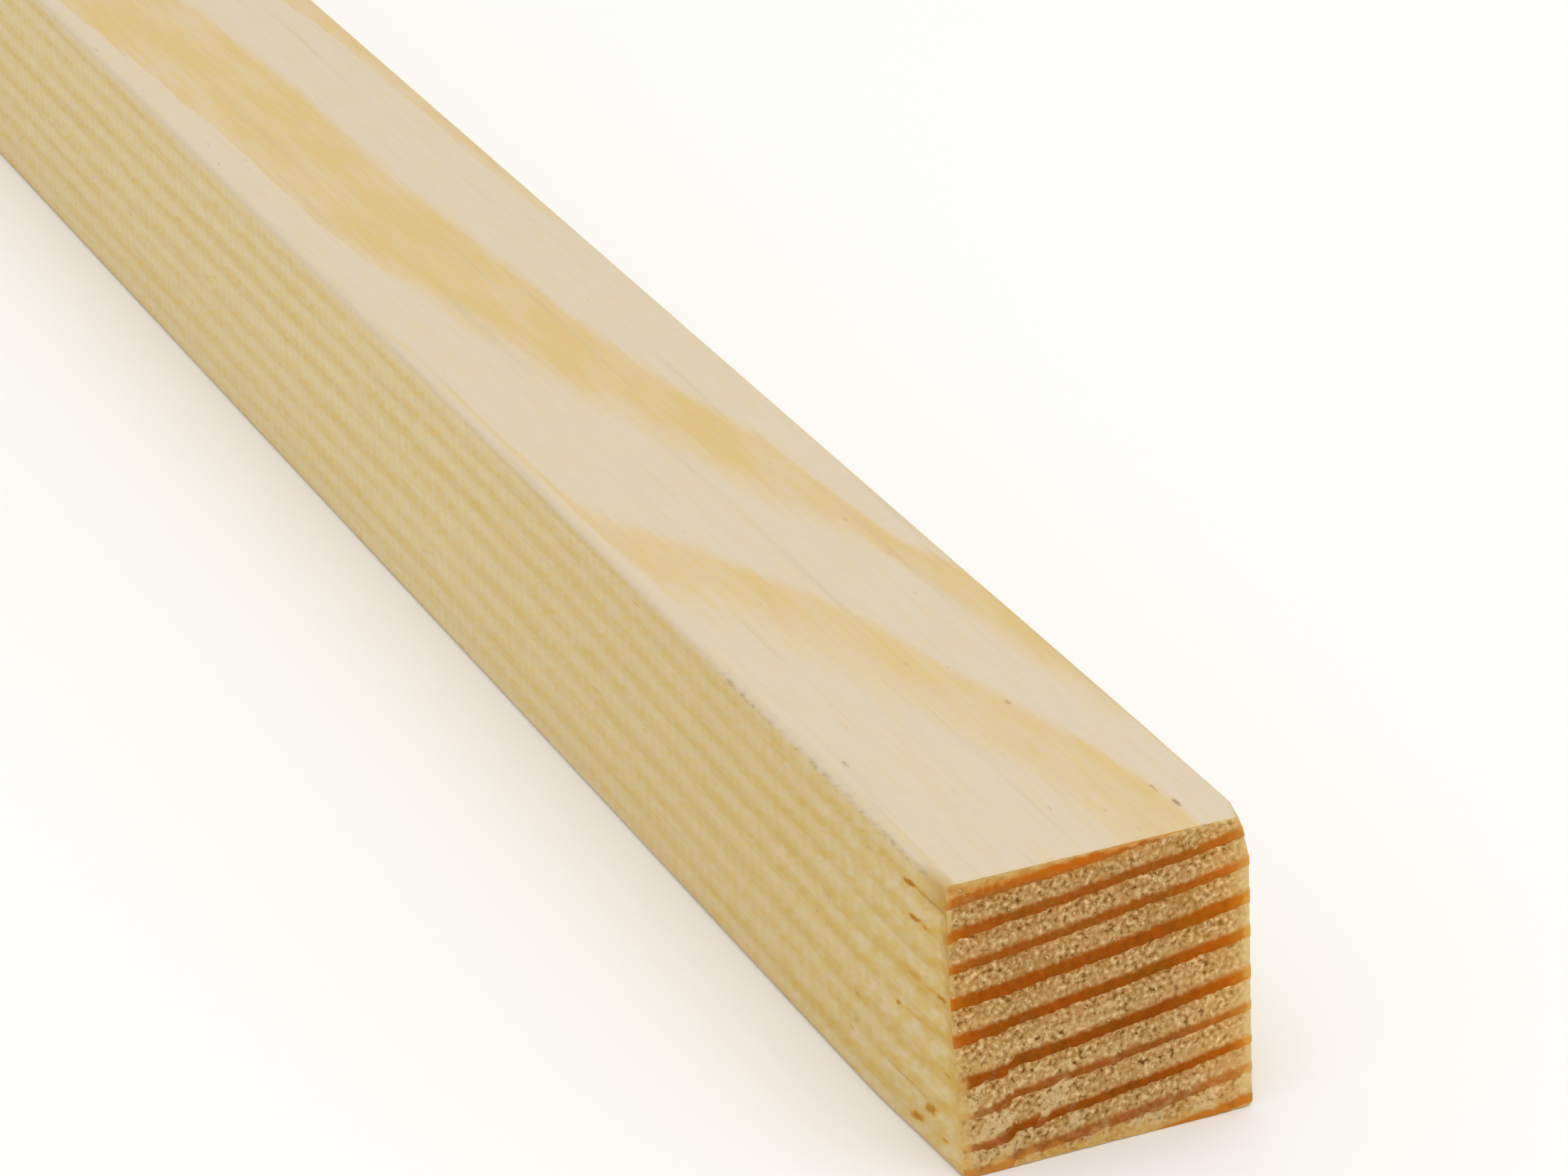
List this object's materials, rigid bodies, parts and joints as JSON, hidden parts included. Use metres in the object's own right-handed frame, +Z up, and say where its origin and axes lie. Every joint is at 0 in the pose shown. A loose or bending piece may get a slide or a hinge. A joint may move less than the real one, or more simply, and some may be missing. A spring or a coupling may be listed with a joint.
{
  "type": "planed softwood batten",
  "caption": "Straight square-section batten of planed, unfinished pine with eased long edges and square sawn ends, for light framing, lining and trim.",
  "frame": {"origin": "middle of the underside, on the floor plane", "axes": "X along the grain and the length, Y across the section, Z up through the section"},
  "size_m": [1, 0.02, 0.02],
  "materials": {
    "planed_pine": "planed bare wood with sawn ends"
  },
  "bodies": {
    "root": {"batten": "planed_pine"}
  },
  "joints": []
}
